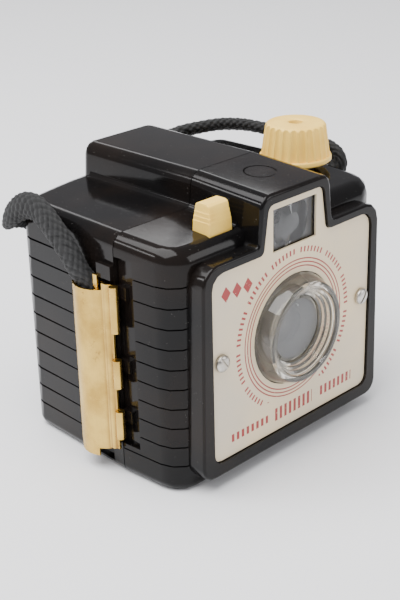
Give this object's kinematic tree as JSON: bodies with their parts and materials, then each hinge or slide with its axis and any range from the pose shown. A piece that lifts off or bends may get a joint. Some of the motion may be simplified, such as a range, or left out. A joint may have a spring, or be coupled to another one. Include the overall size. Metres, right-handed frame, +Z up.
{
  "type": "box camera",
  "caption": "Black moulded roll-film box camera with cream face plate, clear lens ring, top winding knob, release button, gilt side latches and a braided neck strap.",
  "frame": {"origin": "middle of the flat base the camera stands on", "axes": "+X to the right seen from the front, +Y from the lens towards the back, +Z up"},
  "size_m": [0.1088, 0.1106, 0.0885],
  "materials": {
    "black_moulding": "deep gloss black moulded plastic",
    "black_inside": "dull black moulded plastic",
    "cream_enamel": "satin cream enamel on sheet metal",
    "cream_plastic": "aged cream-yellow moulded plastic",
    "clear_plastic": "clear moulded acrylic",
    "lens_glass": "polished glass",
    "red_celluloid": "deep red transparent celluloid",
    "gilt_metal": "worn gilt plating",
    "nickel": "dull nickel plating",
    "blackened_steel": "chemically blackened sheet steel",
    "spring_steel": "bare spring wire",
    "black_braid": "flat tubular black braid"
  },
  "bodies": {
    "camera_front": {"front_shell": "black_moulding", "film_chamber": "black_inside", "face_plate": "cream_enamel", "face_screw_left": "nickel", "face_screw_right": "nickel", "lens_window": "clear_plastic", "taking_lens": "lens_glass", "lens_cell": "black_inside", "viewfinder_front_lens": "lens_glass", "shutter_plate": "blackened_steel", "shutter_spring": "spring_steel", "release_spring": "spring_steel", "knob_washer": "spring_steel", "spool_pin_take_up": "nickel", "spool_pin_supply_lower": "nickel", "spool_pin_supply_upper": "nickel", "chamber_screw_upper": "nickel", "chamber_screw_lower": "nickel"},
    "back": {"rear_shell": "black_moulding", "viewfinder_eyepiece": "lens_glass", "red_film_window": "red_celluloid", "neck_strap": "black_braid"},
    "release": {"release_button": "cream_plastic"},
    "lever": {"shutter_lever": "blackened_steel"},
    "blade": {"shutter_blade": "blackened_steel"},
    "winder": {"winding_knob": "cream_plastic", "knob_rivet": "blackened_steel", "winding_key": "nickel"},
    "spool": {"take_up_spool": "blackened_steel"},
    "left_latch": {"latch_left": "gilt_metal"},
    "right_latch": {"latch_right": "gilt_metal"}
  },
  "joints": [
    {"name": "back_pull_off", "type": "slide", "parent": "camera_front", "child": "back", "axis": [0, 1, 0], "range_m": [0, 0.07]},
    {"name": "left_latch_slide", "type": "slide", "parent": "back", "child": "left_latch", "axis": [0, 0, -1], "range_m": [0, 0.0045]},
    {"name": "right_latch_slide", "type": "slide", "parent": "back", "child": "right_latch", "axis": [0, 0, -1], "range_m": [0, 0.0045]},
    {"name": "release_press", "type": "slide", "parent": "camera_front", "child": "release", "axis": [0, 0, -1], "range_m": [0, 0.004], "stiffness_N_per_m": 300, "deforming": ["release_spring"]},
    {"name": "lever_swing", "type": "hinge", "parent": "camera_front", "child": "lever", "pos_m": [-0.013, -0.0289, 0.05], "axis": [0, -1, 0], "range_deg": [0, 25]},
    {"name": "blade_swing", "type": "hinge", "parent": "camera_front", "child": "blade", "pos_m": [0.0095, -0.0302, 0.0485], "axis": [0, -1, 0], "range_deg": [0, 61]},
    {"name": "winding_turn", "type": "hinge", "parent": "camera_front", "child": "winder", "pos_m": [0.0335, -0.0093, 0.0779], "axis": [0, 0, 1], "continuous": true},
    {"name": "spool_turn", "type": "hinge", "parent": "camera_front", "child": "spool", "pos_m": [0.0335, -0.0093, 0.0401], "axis": [0, 0, 1], "continuous": true}
  ],
  "couplings": [
    {"joint": "lever_swing", "follows": "release_press", "rad_per_m": 105},
    {"joint": "blade_swing", "follows": "release_press", "rad_per_m": 260},
    {"joint": "spool_turn", "follows": "winding_turn", "ratio": 1}
  ]
}
